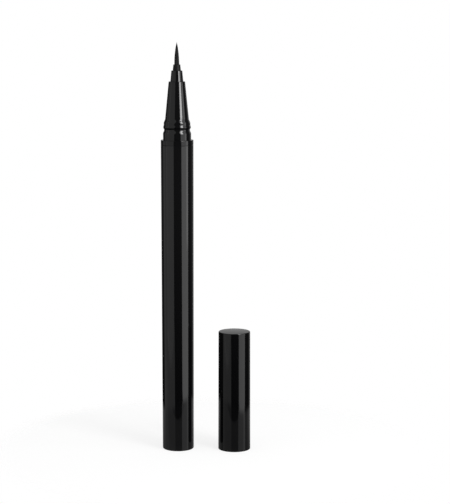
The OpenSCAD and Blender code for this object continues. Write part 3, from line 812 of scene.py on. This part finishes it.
class AddFrontSection(bpy.types.Operator):
    """Add the collar, bead and nose cone, and the glossy sleeve in front of them."""
    bl_idname = "liner_pen.add_front_section"
    bl_label = "Front section and sleeve"

    def execute(self, context):
        settings = context.scene.liner_pen
        gloss = finish("polished_abs")
        section = section_shape(settings.pen, settings.tip)
        add_piece("nose_section", section, gloss, "pen", "front_section")
        add_piece("nose_sleeve", sleeve_shape(settings.tip), gloss, "pen", "tip_sleeve")
        return {"FINISHED"}


class AddBrush(bpy.types.Operator):
    """Add the bristles on their fused root, and the satin holder round them."""
    bl_idname = "liner_pen.add_brush"
    bl_label = "Bristles and holder"

    def execute(self, context):
        settings = context.scene.liner_pen
        sizes = settings.bristles
        add_piece("bristle_holder", holder_shape(settings.tip, sizes), finish("satin_abs"), "pen",
                  "brush_holder")
        strands, tones_and_painted_shade = bristle_shapes(sizes)
        root = root_shape(sizes, top("brush_holder") - sizes.root_drop)
        tuft = add_piece("bristle_tuft", joined(strands, root), finish("polyester_bristle"), "pen",
                         "brush")
        # Each bristle's tone, darkened in the furrows as painted shade, goes onto its points
        per_strand = len(strands[0]) // len(tones_and_painted_shade)
        values = np.concatenate([np.repeat(tones_and_painted_shade, per_strand), np.zeros(len(root[0]))])
        shade = tuft.data.attributes.new("strand_tone_and_painted_shade", "FLOAT", "POINT")
        shade.data.foreach_set("value", values.astype(np.float32))
        return {"FINISHED"}


class AddCap(bpy.types.Operator):
    """Add the shell of the cap, and the spring behind its inner cap."""
    bl_idname = "liner_pen.add_cap"
    bl_label = "Cap and spring"

    def execute(self, context):
        sizes = context.scene.liner_pen.cap
        add_piece("cap_tube", cap_shape(sizes), finish("polished_abs"), "cap", "cap_shell")
        axis = node_axis("cap_shell")
        low = bottom("inner_cap_spring")
        high = top("inner_cap_spring")
        radius = node_radius("inner_cap_spring") - sizes.wire_radius
        coil = helix(axis, radius, low, high, sizes.coils, sizes.wire_radius)
        spring = add_piece("seal_spring", coil, finish("spring_steel"), "cap",
                           "inner_cap_spring")
        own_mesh(spring)
        return {"FINISHED"}


class FinishInnerPieces(bpy.types.Operator):
    """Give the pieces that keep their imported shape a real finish."""
    bl_idname = "liner_pen.finish_inner_pieces"
    bl_label = "Inner pieces"

    def execute(self, context):
        finishes = {
            "tail_plug": "polished_abs",
            "ink_tank": "natural_polypropylene",
            "collector": "natural_polypropylene",
            "inner_cap": "natural_polypropylene",
            "feed_pipe": "natural_polypropylene",
            "ink_wick": "bonded_fibre",
            "mixing_ball": "tumbled_steel",
        }
        for node, name in finishes.items():
            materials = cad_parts[node].data.materials
            materials.clear()
            materials.append(finish(name))
        return {"FINISHED"}


# Stage

def mirrored(tree, rays):
    """1 for the rays in which gloss mirrors its surroundings or something clear shows them, otherwise 0."""
    return combine(tree, "MAXIMUM", rays["Is Glossy Ray"], rays["Is Transmission Ray"])


def add_world(stage):
    """White to the camera. Gloss mirrors a dim room, darker below eye level, with a pale backdrop behind
    the object that starts dimly at its foot and fades upwards, and everything else gets an even light.

    Heights and turns are parts of a ray's direction, whose length is 1.
    """
    room_rise = (-0.24, -0.09)
    backdrop_way = (0.33, 0.94, 0)
    backdrop_edge = (0.8, 0.9)
    backdrop_rise = (-0.08, 0.06)
    backdrop_fade = (0.1, 0.6)
    world = bpy.data.worlds.new("studio")
    bpy.context.scene.world = world
    world.use_nodes = True
    tree = world.node_tree
    tree.nodes.clear()
    rays = add_node(tree, "LightPath").outputs
    direction = add_node(tree, "TexCoord").outputs["Generated"]
    height = add_node(tree, "SeparateXYZ", {"Vector": direction}).outputs["Z"]
    turn = add_node(tree, "VectorMath", {0: direction, 1: backdrop_way}, operation="DOT_PRODUCT")
    behind = remap(tree, turn.outputs["Value"], backdrop_edge, smooth=True)
    room = remap(tree, height, room_rise, (stage.room_low, stage.room_high), smooth=True)
    foot = stage.backdrop_foot * stage.backdrop
    rise = remap(tree, height, backdrop_rise, (foot, stage.backdrop), smooth=True)
    fade = remap(tree, height, backdrop_fade, (1, stage.backdrop_high))
    around = mix(tree, behind, room, combine(tree, "MULTIPLY", rise, fade))
    unseen = mix(tree, mirrored(tree, rays), stage.room_light, around)
    strength = mix(tree, rays["Is Camera Ray"], unseen, 1)
    background = add_node(tree, "Background", {"Color": (1, 1, 1, 1), "Strength": strength})
    add_node(tree, "OutputWorld", {"Surface": background.outputs["Background"]})


def floor_finish(stage, middle):
    """White to the camera: most of it is the floor's own, and the rest is lit, so that it keeps the shadows.
    Gloss sees a dim polished floor instead, which mirrors the lamps. That one begins some way before the
    object, is even at first, and brightens towards the back. At its rim the floor fades away."""
    tree, place, material = new_finish("white_floor")
    rays = add_node(tree, "LightPath").outputs
    centred = add_node(tree, "VectorMath", {0: place, 1: (*middle, 0)}, operation="SUBTRACT")
    distance = add_node(tree, "VectorMath", {0: centred.outputs["Vector"]}, operation="LENGTH")
    depth = add_node(tree, "SeparateXYZ", {"Vector": centred.outputs["Vector"]}).outputs["Y"]
    glow = combine(tree, "MULTIPLY", rays["Is Camera Ray"], stage.floor_glow)
    own = add_node(tree, "Emission", {"Color": (1, 1, 1, 1), "Strength": glow})
    lit = add_node(tree, "BsdfDiffuse", {"Color": (*[stage.floor_lit] * 3, 1)})
    white = add_node(tree, "AddShader", {0: lit.outputs["BSDF"], 1: own.outputs["Emission"]})
    begun = remap(tree, depth, (-stage.floor_front - stage.floor_soft, -stage.floor_front), smooth=True)
    level = remap(tree, depth, (-stage.floor_even, stage.floor_radius / 2),
                  (stage.floor_near, stage.floor_far))
    dim = add_node(tree, "BsdfPrincipled", {
        "Base Color": (0, 0, 0, 1), "Roughness": 0.1, "IOR": 1.5, "Emission Color": (1, 1, 1, 1),
        "Emission Strength": combine(tree, "MULTIPLY", begun, level)})
    whole = add_node(tree, "MixShader", {
        0: mirrored(tree, rays), 1: white.outputs["Shader"], 2: dim.outputs["BSDF"]})
    rim = remap(tree, distance.outputs["Value"],
                (stage.floor_radius - stage.floor_fade, stage.floor_radius), smooth=True)
    clear = add_node(tree, "BsdfTransparent")
    faded = add_node(tree, "MixShader", {0: rim, 1: whole.outputs["Shader"], 2: clear.outputs["BSDF"]})
    add_node(tree, "OutputMaterial", {"Surface": faded.outputs["Shader"]})
    return material


def add_floor(stage):
    """A round white floor, centred between the pen and its cap."""
    middle = node_axis("cap_shell") / 2
    turn = np.linspace(0, 2 * math.pi, SIDES // 2, endpoint=False)
    rim = np.column_stack([np.cos(turn), np.sin(turn), 0 * turn])
    mesh = bpy.data.meshes.new("floor")
    mesh.from_pydata((stage.floor_radius * rim + [*middle, 0]).tolist(), [], [list(range(len(turn)))])
    mesh.materials.append(floor_finish(stage, middle))
    floor = bpy.data.objects.new("floor", mesh)
    floor.location.z = -stage.floor_drop
    bpy.context.scene.collection.objects.link(floor)


def add_lamp(name, across, up, distance, level, height=None):
    """A softbox that the camera doesn't see, facing the pen's axis at a height, or else at half the barrel.

    across and up are the angles between which it stands as seen from there, right of the camera and above
    the horizon, in degrees, and level is the brightness of its face, where 1 is white.
    """
    target = Vector((0, 0, height or top("barrel") / 2))
    left, right, low, high = np.radians([*across, *up])
    turn = (left + right) / 2
    rise = (low + high) / 2
    way = Vector((math.sin(turn) * math.cos(rise), -math.cos(turn) * math.cos(rise), math.sin(rise)))
    data = bpy.data.lights.new(name, "AREA")
    data.shape = "RECTANGLE"
    data.size = 2 * distance * math.tan((right - left) / 2)
    data.size_y = 2 * distance * math.tan((high - low) / 2)
    data.energy = math.pi * level * data.size * data.size_y
    lamp = bpy.data.objects.new(name, data)
    lamp.location = target + way * distance
    lamp.rotation_euler = way.to_track_quat("Z", "Y").to_euler()
    lamp.visible_camera = False
    bpy.context.scene.collection.objects.link(lamp)


class AddStage(bpy.types.Operator):
    """Add the camera, the white background, the pale floor and the softboxes."""
    bl_idname = "liner_pen.add_stage"
    bl_label = "Stage"

    def execute(self, context):
        stage = context.scene.liner_pen.stage
        data = bpy.data.cameras.new("camera")
        data.lens = stage.lens
        data.sensor_width = SENSOR_WIDTH
        data.clip_start = 10 * MM
        camera = bpy.data.objects.new("camera", data)
        camera.location = (stage.camera_side, -stage.camera_back, stage.camera_height)
        camera.rotation_euler = (math.pi / 2 - stage.camera_pitch, 0, -stage.camera_turn)
        context.scene.collection.objects.link(camera)
        context.scene.camera = camera
        context.scene.view_settings.view_transform = "Standard"
        add_world(stage)
        add_floor(stage)
        add_lamp("right_softbox", across=(30, 85), up=(-16, 52), distance=0.9, level=1.3)
        add_lamp("right_strip", across=(69, 83), up=(-7, 12), distance=0.8, level=0.8)
        add_lamp("left_softbox", across=(-85, -21), up=(-13, 60), distance=0.9, level=0.45)
        add_lamp("left_low_softbox", across=(-80, -23), up=(-18, -13), distance=0.9, level=0.32)
        add_lamp("left_side_softbox", across=(-115, -80), up=(-17, 34), distance=0.9, level=0.33)
        add_lamp("high_lamp", across=(34, 54), up=(-23, 22), distance=0.25, level=10, height=0.238)
        return {"FINISHED"}


class LinerPenPanel(bpy.types.Panel):
    """The pen's pieces and sizes in the 3D view's sidebar."""
    bl_idname = "VIEW3D_PT_liner_pen"
    bl_label = "Liner Pen"
    bl_space_type = "VIEW_3D"
    bl_region_type = "UI"
    bl_category = "Liner Pen"

    def draw(self, context):
        for operator in OPERATORS:
            self.layout.operator(operator.bl_idname)
        settings = context.scene.liner_pen
        for group in (settings.pen, settings.tip, settings.bristles, settings.cap, settings.colours,
                      settings.stage):
            box = self.layout.box()
            for name in group.__annotations__:
                box.prop(group, name)


GROUPS = (PenSizes, TipSizes, BristleSizes, CapSizes, Colours, StageSizes, LinerPen)
OPERATORS = (AddBarrel, AddFrontSection, AddBrush, AddCap, FinishInnerPieces, AddStage)


def register():
    """Makes the classes known to Blender and hangs the settings on the scene."""
    for cls in (*GROUPS, *OPERATORS, LinerPenPanel):
        bpy.utils.register_class(cls)
    bpy.types.Scene.liner_pen = bpy.props.PointerProperty(type=LinerPen, name="Liner pen",
                                                          description="Sizes and colours of the pen")


def unregister():
    """Takes the settings and the classes away again."""
    del bpy.types.Scene.liner_pen
    for cls in reversed((*GROUPS, *OPERATORS, LinerPenPanel)):
        bpy.utils.unregister_class(cls)


def main():
    """Builds the pieces and the stage."""
    register()
    bpy.ops.liner_pen.add_barrel()
    bpy.ops.liner_pen.add_front_section()
    bpy.ops.liner_pen.add_brush()
    bpy.ops.liner_pen.add_cap()
    bpy.ops.liner_pen.finish_inner_pieces()
    bpy.ops.liner_pen.add_stage()


if __name__ == "__main__":
    main()
